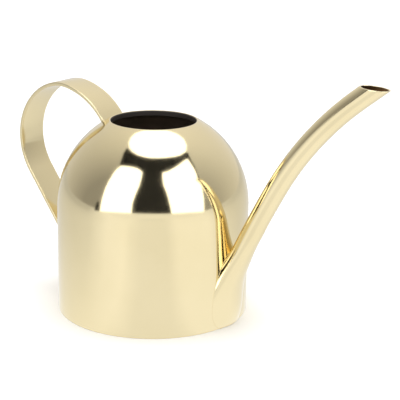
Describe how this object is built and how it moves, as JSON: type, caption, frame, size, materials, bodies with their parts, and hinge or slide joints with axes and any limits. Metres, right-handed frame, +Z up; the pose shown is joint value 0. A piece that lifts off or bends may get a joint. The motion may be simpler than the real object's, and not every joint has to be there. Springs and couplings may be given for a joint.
{
  "type": "watering can",
  "caption": "Small domed metal watering can with a round fill hole, a long curved tube spout and a looped strap handle.",
  "frame": {"origin": "on the body's axis, in the plane of the surface the can stands on", "axes": "+Z up, +X along the spout in the plane of symmetry, Y across the can"},
  "size_m": [0.2844, 0.13, 0.1735],
  "materials": {
    "gold_plate": "polished",
    "filler": "polished"
  },
  "bodies": {
    "root": {"shell": "gold_plate", "base_plate": "gold_plate", "base_joint": "filler", "spout_tube": "gold_plate", "spout_joint": "filler", "handle_strap": "gold_plate", "handle_top_joint": "filler", "handle_foot_joint": "filler"}
  },
  "joints": []
}
